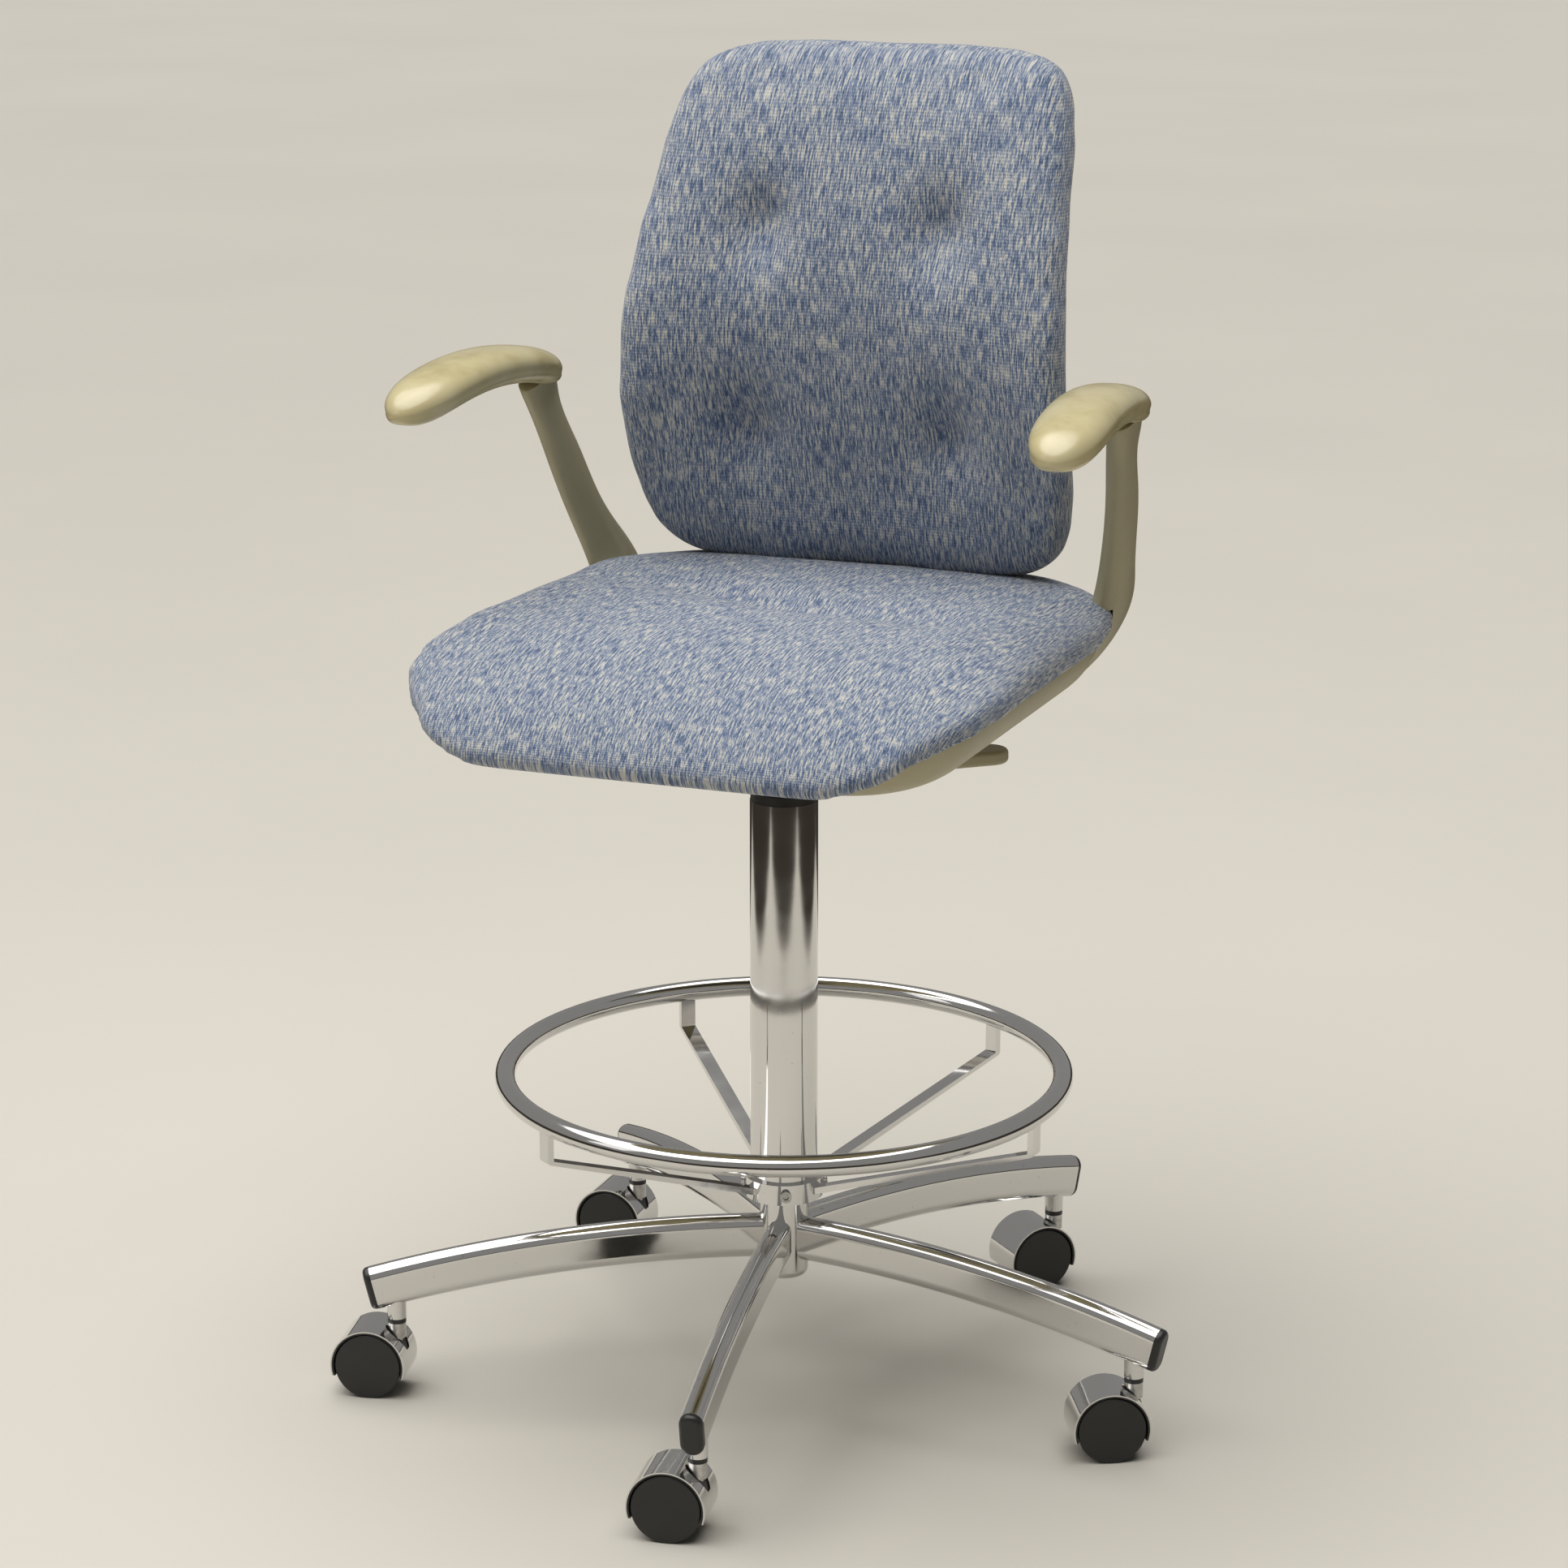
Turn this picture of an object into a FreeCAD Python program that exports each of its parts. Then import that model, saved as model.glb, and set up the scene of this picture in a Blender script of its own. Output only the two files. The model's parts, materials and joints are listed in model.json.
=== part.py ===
"""Adjustable swivel stool: a drafting-height chair with a gas column, footring and five casters.

Frame: millimetres, +Z up, origin on the column's axis at floor level. The seat faces -Y.
Plan directions are angles from -Y towards +X.
"""
import FreeCAD, Part
import math
import os

V = FreeCAD.Vector
Z_AXIS = V(0, 0, 1)
ORIGIN = V(0, 0, 0)

# ---- driving dimensions ----
# casters
WHEEL_R = 26.0
WHEEL_INNER = 7.0          # inner face of each wheel, from the caster's middle plane
WHEEL_OUTER = 20.6         # outer face of each wheel
TRAIL = 19.4               # from the stem's axis to the wheels' axle
STEM_R = 5.5
AXLE_R = 3.0
RUNNING = 0.05             # radial clearance of every running fit
FENDER_IN_R = 26.8
HOOD_IN_R = 28.2
HOOD_OUT_R = 29.2
HOOD_HALF_W = 21.3
HOOD_BELOW_AXLE = 8.5
WEB_HALF_T = 6.6
STEM_CIRCLE_R = 301.7      # radius of the circle that the caster stems stand on
CASTER_TURN = (9.3, 28.3, 45.7, 1.4, 12.3)   # how each caster has swivelled, degrees

# base
ARM_COUNT = 5
ARM_FIRST = 9.6            # plan direction of the first arm, degrees
ARM_W = 18.5
ARM_H = 35.0
ARM_WALL = 1.5
ARM_ROOT_Z = 117.0         # height of an arm's centre line where it meets the hub
ARM_END_R = 319.0
ARM_END_Z = 85.8
ARM_ROOT_SLOPE = 1.5       # degrees upwards
CAP_T = 5.5
HUB_R = 19.0
HUB_IN_R = 16.0
HUB_BOTTOM = 92.0
SOCKET_R = 7.5
SOCKET_BOTTOM = 61.0
SOCKET_TOP = 100.0

# column and gas spring
COLUMN_R = 26.0
COLUMN_WALL = 2.0
COLUMN_BOTTOM = 152.0
COLUMN_TOP = 468.0
BUSH_FLANGE_TOP = 477.0
BUSH_LENGTH = 80.0
CYLINDER_R = 14.0
CYLINDER_IN_R = 12.5
CYLINDER_BOTTOM = 165.0
CYLINDER_TOP = 520.0
ROD_R = 5.0
ROD_BOTTOM = 112.0
ROD_TOP = 490.0
ROD_PLATE_Z = 128.0
ROD_PLATE_T = 6.0
RACE_T = 2.5
BALL_R = 1.6
BALL_CIRCLE_R = 9.5
BALL_COUNT = 12

# footring
RING_R = 214.6
RING_TUBE_R = 8.0
RING_Z = 251.0
STRUT_AT = (-34.0, 82.0, 150.0, 223.0)       # plan directions of the struts, degrees
STRUT_W = 12.0
STRUT_T = 5.0
STRUT_BEND_Z = 221.0
STRUT_FOOT_Z = 159.0
COLLAR_R = 30.0
COLLAR_H = 16.0

# seat
SEAT_HALF_W = 225.0
SEAT_FRONT = -273.0
SEAT_REAR = 220.0
SEAT_FRONT_CORNER_R = 110.0
SEAT_REAR_CORNER_R = 135.0
SEAT_TOP = 605.0
SEAT_NOSE_Z = 579.0
SEAT_FRONT_LOW_Z = 556.0
LIP_Z = 588.0              # top edge of the seat shell along the sides and rear
SHELL_BOTTOM_Z = 534.0
SHELL_LIP_INSET = 10.0     # how far the shell stands in from the cushion's outline at its lip
SHELL_SIDE = ((17.0, 566.0), (33.0, 549.0))    # inset and height of its rounded side
SHELL_FLOOR_INSET = 70.0
SHELL_T = 4.0

# mechanism under the seat
BOX_HALF_W = 50.0
BOX_FRONT = -32.0
BOX_REAR = 128.0
BOX_BOTTOM = 487.0
BOX_T = 3.0
SCREW_X = 38.0            # the four screws that hold the box to the seat shell
SCREW_Y = (-18.0, 116.0)
BOSS_R = 20.0
HINGE_Y = 150.0
HINGE_Z = 505.0
HINGE_PIN_R = 5.0
KNUCKLE_R = 11.0
KNUCKLE_HALF_W = 30.0
EAR_T = 8.0
LEVER_AT = 40.7            # plan angle of the height lever from +X, degrees
LEVER_PIVOT_X = 38.0
LEVER_Z = 526.4
LEVER_T = 4.0
LEVER_W = 14.0
PADDLE_Z = 488.0
PADDLE_X0 = 118.0
PADDLE_X1 = 182.0
PADDLE_W = 30.0
PADDLE_T = 11.0
BUTTON_R = 4.0
BUTTON_TOP = 526.0

# armrests, one side; the other is its mirror image
POST_STATIONS = (          # x, y, z, half thickness across, half width front to back
    (238.0, 76.0, 765.0, 11.5, 20.0),
    (235.0, 87.0, 743.0, 11.0, 19.0),
    (229.0, 108.0, 700.0, 11.0, 19.5),
    (222.0, 127.0, 660.0, 11.5, 21.0),
    (214.5, 144.0, 628.0, 12.0, 26.0),
    (206.0, 157.0, 600.0, 12.0, 38.0),
)
FOOT_STATIONS = (          # x, y, z, half height, half width front to back
    (190.0, 151.0, 567.0, 10.0, 40.0),
    (171.0, 140.0, 545.0, 8.0, 35.0),
    (144.0, 124.0, 531.0, 6.5, 29.0),
    (112.0, 112.0, 529.0, 6.0, 25.0),
)
PAD_AT = (243.0, -18.0, 785.0)     # middle of the pad
PAD_L = 236.0
PAD_W = 54.0
PAD_T = 26.0
PAD_SPLAY = 4.0            # degrees that the pad's front end stands out
PAD_ARCH = 18.0            # how far its ends lie below its middle

# backrest
BACK_BOTTOM = 612.0
BACK_TOP = 1013.0
BACK_HALF_W = 176.0        # at its widest
BACK_WIDEST_Z = 725.0
BACK_T = 44.0
BACK_LEVELS = (            # height, y of the front's middle, how far the sides stand forward of it
    (590.0, 164.0, 24.0),
    (650.0, 160.0, 30.0),
    (700.0, 150.0, 38.0),
    (750.0, 137.0, 42.0),
    (800.0, 130.0, 37.0),
    (850.0, 133.0, 27.0),
    (900.0, 147.0, 18.0),
    (950.0, 169.0, 13.0),
    (1030.0, 219.0, 11.0),
)
BACK_SIDE = (              # height, half width of the outline, from the bottom corner to the top corner
    (618.0, 131.0),
    (634.0, 158.0),
    (664.0, 172.0),
    (BACK_WIDEST_Z, BACK_HALF_W),
    (800.0, 173.0),
    (860.0, 168.0),
    (920.0, 162.5),
    (968.0, 157.0),
    (999.0, 142.0),
    (1010.0, 112.0),
)
BACK_SHELL_T = 6.0
BACK_SHELL_INSET = 12.0
BAR_Y = 238.0
BAR_W = 40.0
BAR_T = 8.0
BAR_TOP = 800.0
SLIDE_Z0 = 640.0
SLIDE_Z1 = 740.0
SLIDE_HALF_W = 34.0
SLIDE_REAR = 254.0
KNOB_R = 21.0
KNOB_L = 24.0


def keep(name, shape):
    """Writes one node. The shape is a solid, or a compound of separate solids."""
    if not shape.isValid():
        shape = shape.copy()
        shape.fix(1e-4, 1e-4, 1e-3)
    shape.exportStep("parts/" + name + ".step")


def plan(direction, radius, z=0.0):
    """The point at a plan direction and radius."""
    a = math.radians(direction)
    return V(radius * math.sin(a), -radius * math.cos(a), z)


def turned(shape, direction):
    """A shape modelled along +X, turned to lie along a plan direction."""
    out = shape.copy()
    out.rotate(ORIGIN, Z_AXIS, direction - 90.0)
    return out


def cylinder(radius, z0, z1, x=0.0, y=0.0):
    return Part.makeCylinder(radius, z1 - z0, V(x, y, z0))


def tube(r_out, r_in, z0, z1, x=0.0, y=0.0):
    return cylinder(r_out, z0, z1, x, y).cut(cylinder(r_in, z0 - 1, z1 + 1, x, y))


def bar_y(radius, y0, y1, x=0.0, z=0.0):
    """A round bar along Y."""
    return Part.makeCylinder(radius, y1 - y0, V(x, y0, z), V(0, 1, 0))


def bar_x(radius, x0, x1, y=0.0, z=0.0):
    """A round bar along X."""
    return Part.makeCylinder(radius, x1 - x0, V(x0, y, z), V(1, 0, 0))


def block(x0, x1, y0, y1, z0, z1):
    return Part.makeBox(x1 - x0, y1 - y0, z1 - z0, V(x0, y0, z0))


def mirrored(shape):
    """The left-hand twin of a right-hand piece."""
    return shape.mirror(ORIGIN, V(1, 0, 0))


def solid_of(shape):
    """The single solid inside a boolean's result."""
    return max(shape.Solids, key=lambda s: s.Volume)


def rounded_rectangle(x0, x1, y0, y1, r0, r1, z):
    """A closed wire at height z: corner radius r0 along y0 and r1 along y1."""
    k = math.sqrt(0.5)
    corners = (
        (V(x0 + r0, y0 + r0, z), r0, -1, -1),
        (V(x1 - r0, y0 + r0, z), r0, 1, -1),
        (V(x1 - r1, y1 - r1, z), r1, 1, 1),
        (V(x0 + r1, y1 - r1, z), r1, -1, 1),
    )
    arcs = []
    for n, (c, r, sx, sy) in enumerate(corners):
        on_x = c + V(sx * r, 0, 0)
        on_y = c + V(0, sy * r, 0)
        first, last = (on_x, on_y) if n % 2 == 0 else (on_y, on_x)
        arcs.append(Part.Arc(first, c + V(sx * r * k, sy * r * k, 0), last).toShape())
    edges = []
    for n, arc in enumerate(arcs):
        edges.append(arc)
        start = arc.Vertexes[-1].Point
        end = arcs[(n + 1) % 4].Vertexes[0].Point
        edges.append(Part.LineSegment(start, end).toShape())
    return Part.Wire(edges)


# ---- casters ----

def sector_shell(r_out, r_in, half_w):
    """The part of a drum, on the wheels' axle, that a hood covers."""
    outer = bar_y(r_out, -half_w, half_w, -TRAIL, WHEEL_R)
    inner = bar_y(r_in, -half_w - 1, half_w + 1, -TRAIL, WHEEL_R)
    low = block(-TRAIL - 40, -TRAIL + 40, -30, 30, -10, WHEEL_R - HOOD_BELOW_AXLE)
    return outer.cut(inner).cut(low)


def caster_fender():
    """Black plastic body: the web between the wheels and the shell under the hood; and the washer."""
    web = bar_y(FENDER_IN_R + 0.5, -WEB_HALF_T, WEB_HALF_T, -TRAIL, WHEEL_R)
    web = web.cut(block(-TRAIL - 40, -TRAIL + 40, -30, 30, -10, 12.0))
    shell = sector_shell(HOOD_IN_R, FENDER_IN_R, HOOD_HALF_W - 0.4)
    body = web.fuse(shell)
    body = body.cut(cylinder(9.0, 45.0, 70.0))
    body = body.cut(cylinder(4.0, 28.0, 50.0))
    body = body.cut(bar_y(AXLE_R, -30, 30, -TRAIL, WHEEL_R))
    washer = tube(SOCKET_R - 0.3, STEM_R, 57.2, SOCKET_BOTTOM - 0.1)
    return Part.makeCompound([solid_of(body), washer])


def caster_hood():
    """Chromed sheet wrapped over the fender, with a notch for the stem."""
    shell = sector_shell(HOOD_OUT_R, HOOD_IN_R, HOOD_HALF_W)
    return solid_of(shell.cut(cylinder(9.0, 35.0, 70.0)))


def caster_pins():
    """The stem and the axle, two separate steel pins."""
    stem = cylinder(4.0, 28.0, 45.0)
    stem = stem.fuse(cylinder(7.0, 45.0, 57.2))
    stem = stem.fuse(cylinder(STEM_R, 57.2, 96.0))
    stem = solid_of(stem.removeSplitter())
    axle = bar_y(AXLE_R, -WHEEL_OUTER + 4, WHEEL_OUTER - 4, -TRAIL, WHEEL_R)
    return Part.makeCompound([stem, axle])


def caster_wheel(side):
    """One wheel: a dished disc with a rounded tread edge and a blind bore for the axle."""
    y0, y1 = sorted((side * WHEEL_INNER, side * WHEEL_OUTER))
    disc = bar_y(WHEEL_R, y0, y1, -TRAIL, WHEEL_R)
    rims = [e for e in disc.Edges if e.Curve.TypeId == "Part::GeomCircle"]
    disc = disc.makeFillet(1.6, rims)
    bore_end = WHEEL_OUTER - 3.5
    b0, b1 = sorted((side * (WHEEL_INNER - 1), side * bore_end))
    return solid_of(disc.cut(bar_y(AXLE_R + RUNNING, b0, b1, -TRAIL, WHEEL_R)))


def make_casters():
    for n in range(ARM_COUNT):
        at = plan(ARM_FIRST + n * 360.0 / ARM_COUNT, STEM_CIRCLE_R)
        pieces = {
            "fender": caster_fender(),
            "hood": caster_hood(),
            "pins": caster_pins(),
            "wheels": Part.makeCompound([caster_wheel(-1), caster_wheel(1)]),
        }
        for name, shape in pieces.items():
            shape.rotate(ORIGIN, Z_AXIS, CASTER_TURN[n])
            shape.translate(at)
            keep("caster_%d_%s" % (n + 1, name), shape)


# ---- base ----

def arm_section(inset):
    """The flat-oval section of an arm, standing at x = 0 and centred on its centre line."""
    half_w = ARM_W / 2 - inset
    straight = (ARM_H - ARM_W) / 2
    top = Part.Arc(V(0, -half_w, straight), V(0, 0, straight + half_w), V(0, half_w, straight))
    low = Part.Arc(V(0, half_w, -straight), V(0, 0, -straight - half_w), V(0, -half_w, -straight))
    side_a = Part.LineSegment(V(0, half_w, straight), V(0, half_w, -straight))
    side_b = Part.LineSegment(V(0, -half_w, -straight), V(0, -half_w, straight))
    return Part.Face(Part.Wire([s.toShape() for s in (top, side_a, low, side_b)]))


def arm_arc():
    """The arm's centre line as an arc: (centre x, centre z, radius, end slope in degrees)."""
    x0 = HUB_IN_R
    dx = ARM_END_R - x0
    dz = ARM_END_Z - ARM_ROOT_Z
    turn = math.radians(ARM_ROOT_SLOPE) - math.atan2(dz, dx)
    radius = math.hypot(dx, dz) / (2 * math.sin(turn))
    slope = math.radians(ARM_ROOT_SLOPE)
    return (
        x0 + radius * math.sin(slope),
        ARM_ROOT_Z - radius * math.cos(slope),
        radius,
        ARM_ROOT_SLOPE - 2 * math.degrees(turn),
    )


def arm_sweep(inset, slope_from, slope_to):
    """The arm's section swept along its arc between two slopes, both in degrees."""
    cx, cz, radius, _ = arm_arc()
    face = arm_section(inset)
    face.translate(V(cx, 0, cz + radius))
    face.rotate(V(cx, 0, cz), V(0, 1, 0), -slope_from)
    return face.revolve(V(cx, 0, cz), V(0, 1, 0), slope_from - slope_to)


def base_arm():
    end_slope = arm_arc()[3]
    outer = arm_sweep(0.0, ARM_ROOT_SLOPE, end_slope)
    inner = arm_sweep(ARM_WALL, ARM_ROOT_SLOPE + 1, end_slope - 1)
    arm = outer.cut(inner)
    arm = arm.cut(cylinder(HUB_R, 0, 300))
    arm = arm.cut(cylinder(SOCKET_R, 50, SOCKET_TOP, STEM_CIRCLE_R))
    return solid_of(arm)


def arm_cap():
    """A plug in the arm's open end with a domed head."""
    end_slope = arm_arc()[3]
    head = arm_section(0.3).extrude(V(CAP_T, 0, 0))
    far = max(head.Faces, key=lambda f: f.CenterOfMass.x)
    head = head.makeFillet(4.0, far.Edges)
    plug = arm_section(ARM_WALL + 0.1).extrude(V(-8, 0, 0))
    cap = solid_of(head.fuse(plug))
    cap.rotate(ORIGIN, V(0, 1, 0), -end_slope)
    cap.translate(V(ARM_END_R, 0, ARM_END_Z))
    return cap


def make_base():
    spokes = [ARM_FIRST + n * 360.0 / ARM_COUNT for n in range(ARM_COUNT)]
    arm = base_arm()
    socket = tube(SOCKET_R, STEM_R + RUNNING, SOCKET_BOTTOM, SOCKET_TOP, STEM_CIRCLE_R)
    beside = cylinder(SOCKET_R + 0.3, SOCKET_BOTTOM, SOCKET_TOP + 0.3, STEM_CIRCLE_R)
    cap = solid_of(arm_cap().cut(beside))
    for n, direction in enumerate(spokes):
        keep("base_arm_%d" % (n + 1), turned(arm, direction))
    keep("arm_end_caps", Part.makeCompound([turned(cap, d) for d in spokes]))
    keep("caster_sockets", Part.makeCompound([turned(socket, d) for d in spokes]))

    hub = tube(HUB_R, HUB_IN_R, HUB_BOTTOM, COLUMN_BOTTOM)
    liner = tube(COLUMN_R - COLUMN_WALL, HUB_IN_R, COLUMN_BOTTOM, COLUMN_BOTTOM + 44)
    keep("hub_tube", solid_of(hub.fuse(liner).removeSplitter()))
    dome = cylinder(HUB_R, HUB_BOTTOM - 7, HUB_BOTTOM)
    low_edge = min(dome.Edges, key=lambda e: e.CenterOfMass.z)
    dome = dome.makeFillet(6.0, [low_edge])
    keep("hub_end_cap", solid_of(dome.fuse(cylinder(HUB_IN_R, HUB_BOTTOM, HUB_BOTTOM + 6))))


# ---- footring ----

def strut():
    """A bent flat bar along +X: up from the collar to the bend, then straight up to the ring."""
    foot_r = COLLAR_R - 1.0
    run = RING_R - foot_r
    rise = STRUT_BEND_Z - STRUT_FOOT_Z
    angle = math.atan2(rise, run)
    across = STRUT_T / 2 / math.cos(angle)
    kink = STRUT_T / 2 * math.tan(math.radians(45.0) - angle / 2)
    outline = [
        V(foot_r, 0, STRUT_FOOT_Z - across),
        V(RING_R + STRUT_T / 2, 0, STRUT_BEND_Z - across + kink),
        V(RING_R + STRUT_T / 2, 0, RING_Z),
        V(RING_R - STRUT_T / 2, 0, RING_Z),
        V(RING_R - STRUT_T / 2, 0, STRUT_BEND_Z + across - kink),
        V(foot_r, 0, STRUT_FOOT_Z + across),
    ]
    face = Part.Face(Part.makePolygon(outline + [outline[0]]))
    face.translate(V(0, -STRUT_W / 2, 0))
    bar = face.extrude(V(0, STRUT_W, 0))
    outer_bend = [
        e for e in bar.Edges
        if abs(e.CenterOfMass.y) < 0.1 and abs(e.CenterOfMass.z - outline[1].z) < 0.1
    ]
    bar = bar.makeFillet(4.0, outer_bend)
    bar = bar.cut(Part.makeTorus(RING_R, RING_TUBE_R, V(0, 0, RING_Z)))
    bar = bar.cut(cylinder(COLLAR_R, 100, 200))
    return min((s for s in bar.Solids if s.Volume > 500), key=lambda s: s.CenterOfMass.z)


def make_footring():
    keep("footring", Part.makeTorus(RING_R, RING_TUBE_R, V(0, 0, RING_Z)))
    bar = strut()
    keep("footring_struts", Part.makeCompound([turned(bar, d) for d in STRUT_AT]))
    z0 = STRUT_FOOT_Z - COLLAR_H / 2
    collar = tube(COLLAR_R, COLUMN_R, z0, z0 + COLLAR_H)
    between = (24.0, 116.0, 276.0)
    screws = []
    for direction in between:
        bore = turned(bar_x(3.0, COLUMN_R - 1, COLLAR_R + 1, 0, STRUT_FOOT_Z), direction)
        collar = collar.cut(bore)
        shank = bar_x(3.0, COLUMN_R, COLLAR_R, 0, STRUT_FOOT_Z)
        head = bar_x(4.5, COLLAR_R + 0.6, COLLAR_R + 3.6, 0, STRUT_FOOT_Z)
        neck = bar_x(3.0, COLLAR_R - 0.5, COLLAR_R + 1.0, 0, STRUT_FOOT_Z)
        hexagon = Part.Face(Part.makePolygon([
            V(COLLAR_R + 2.0, 2.4 * math.cos(math.radians(60 * k)),
              STRUT_FOOT_Z + 2.4 * math.sin(math.radians(60 * k))) for k in range(7)
        ])).extrude(V(3, 0, 0))
        screw = shank.fuse([head, neck]).removeSplitter().cut(hexagon)
        screws.append(turned(solid_of(screw), direction))
    keep("strut_collar", solid_of(collar))
    keep("collar_screws", Part.makeCompound(screws))


# ---- column and gas spring ----

def make_column():
    inner = COLUMN_R - COLUMN_WALL
    keep("column_tube", tube(COLUMN_R, inner, COLUMN_BOTTOM, COLUMN_TOP))
    bush = tube(inner, CYLINDER_R + RUNNING, COLUMN_TOP - BUSH_LENGTH, COLUMN_TOP)
    flange = tube(COLUMN_R - 0.5, CYLINDER_R + RUNNING, COLUMN_TOP, BUSH_FLANGE_TOP)
    top_rim = [e for e in flange.Edges if abs(e.CenterOfMass.z - BUSH_FLANGE_TOP) < 0.01
               and e.Curve.TypeId == "Part::GeomCircle" and e.Curve.Radius > COLUMN_R - 2]
    flange = flange.makeFillet(2.5, top_rim)
    keep("guide_bush", solid_of(bush.fuse(flange).removeSplitter()))

    plate_top = ROD_PLATE_Z + ROD_PLATE_T
    keep("rod_plate", tube(HUB_IN_R, ROD_R + RUNNING, ROD_PLATE_Z, plate_top))
    race_in = ROD_R + 1.0
    race_out = HUB_IN_R - 2.0
    groove_z = plate_top + RACE_T + BALL_R * 0.6
    groove = Part.makeTorus(BALL_CIRCLE_R, BALL_R + 0.03, V(0, 0, groove_z))
    low = tube(race_out, race_in, plate_top, plate_top + RACE_T).cut(groove)
    high_z = plate_top + RACE_T + BALL_R * 1.2
    high = tube(race_out - 0.5, ROD_R, high_z, high_z + RACE_T).cut(groove)
    balls = []
    for n in range(BALL_COUNT):
        at = plan(n * 360.0 / BALL_COUNT, BALL_CIRCLE_R, groove_z)
        balls.append(Part.makeSphere(BALL_R, at))
    keep("bearing_lower_race", solid_of(low))
    keep("bearing_balls", Part.makeCompound(balls))
    keep("bearing_upper_race", solid_of(high))

    rod = cylinder(ROD_R, ROD_BOTTOM, ROD_TOP)
    shoulder = cylinder(ROD_R + 4, high_z + RACE_T, high_z + RACE_T + 4)
    groove_cut = tube(ROD_R + 1, ROD_R - 0.8, ROD_PLATE_Z - 2.1, ROD_PLATE_Z - 0.1)
    keep("piston_rod", solid_of(rod.fuse(shoulder).removeSplitter().cut(groove_cut)))
    piston_z = ROD_TOP - 14
    keep("piston", tube(CYLINDER_IN_R - RUNNING, ROD_R, piston_z, ROD_TOP))
    clip = tube(ROD_R + 3, ROD_R - 0.8, ROD_PLATE_Z - 2.1, ROD_PLATE_Z - 0.1)
    clip = clip.cut(block(0, 12, -3, 3, ROD_PLATE_Z - 4, ROD_PLATE_Z + 1))
    keep("rod_clip", solid_of(clip))

    body = cylinder(CYLINDER_R, CYLINDER_BOTTOM, CYLINDER_TOP)
    body = body.cut(cylinder(CYLINDER_IN_R, CYLINDER_BOTTOM + 12, CYLINDER_TOP - 14))
    body = body.cut(cylinder(ROD_R + RUNNING, CYLINDER_BOTTOM - 1, CYLINDER_BOTTOM + 13))
    body = body.cut(cylinder(BUTTON_R + RUNNING, CYLINDER_TOP - 8, CYLINDER_TOP + 1))
    keep("gas_cylinder", solid_of(body))
    button = cylinder(BUTTON_R, BUTTON_TOP - 8, BUTTON_TOP)
    button = button.makeFillet(1.8, [max(button.Edges, key=lambda e: e.CenterOfMass.z)])
    keep("gas_button", button)


# ---- seat ----

def side_region(points_top, points_low):
    """A slab across the whole width between two side-view curves, given as (y, z) points."""
    half = SEAT_HALF_W + 30
    top = Part.BSplineCurve()
    top.interpolate([V(-half, y, z) for y, z in points_top])
    low = Part.BSplineCurve()
    low.interpolate([V(-half, y, z) for y, z in points_low])
    ends = []
    for a, b in ((top.EndPoint, low.EndPoint), (low.StartPoint, top.StartPoint)):
        ends.append(Part.LineSegment(a, b).toShape())
    wire = Part.Wire(Part.__sortEdges__([top.toShape(), low.toShape()] + ends))
    return Part.Face(wire).extrude(V(2 * half, 0, 0))


def lip_points():
    """The line where the fabric meets the seat shell, from rear to front."""
    return (
        (SEAT_REAR + 40, LIP_Z),
        (SEAT_REAR - 60, LIP_Z),
        (-60.0, LIP_Z + 1.0),
        (-150.0, LIP_Z + 1.0),
        (-215.0, LIP_Z - 1.0),
        (-243.0, LIP_Z - 9.0),
        (-260.0, LIP_Z - 23.0),
        (SEAT_FRONT + 4, SEAT_FRONT_LOW_Z),
        (SEAT_FRONT - 40, SEAT_FRONT_LOW_Z - 12),
    )


def top_points():
    return (
        (SEAT_REAR + 40, SEAT_TOP - 14.0),
        (SEAT_REAR - 15, SEAT_TOP - 3.0),
        (SEAT_REAR - 100, SEAT_TOP),
        (-60.0, SEAT_TOP),
        (-150.0, SEAT_TOP - 3.0),
        (-215.0, SEAT_TOP - 13.0),
        (SEAT_FRONT + 8, SEAT_NOSE_Z + 4.0),
        (SEAT_FRONT - 40, SEAT_NOSE_Z - 60.0),
    )


def seat_outline(inset, z):
    return rounded_rectangle(
        -SEAT_HALF_W + inset, SEAT_HALF_W - inset, SEAT_FRONT + inset, SEAT_REAR - inset,
        SEAT_FRONT_CORNER_R - inset, SEAT_REAR_CORNER_R - inset, z,
    )


def seat_cushion():
    column = Part.Face(seat_outline(0.0, 500)).extrude(V(0, 0, 150))
    between = side_region(top_points(), [(y, z + 0.2) for y, z in lip_points()])
    return solid_of(column.common(between))


def shell_volume(grow):
    """The seat shell's outside (grow 0) or a smaller copy of it, before its rim is cut."""
    wires = [seat_outline(SHELL_LIP_INSET - grow, LIP_Z + 6)]
    wires += [seat_outline(inset - grow, z - grow / 2) for inset, z in SHELL_SIDE]
    wires.append(seat_outline(SHELL_FLOOR_INSET - grow, SHELL_BOTTOM_Z - grow))
    return Part.makeLoft(wires, True, False)


def seat_shell():
    above = side_region([(y, z + 90) for y, z in lip_points()], lip_points())
    shell = shell_volume(0.0).cut(shell_volume(-SHELL_T))
    return shell.cut(above)


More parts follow.
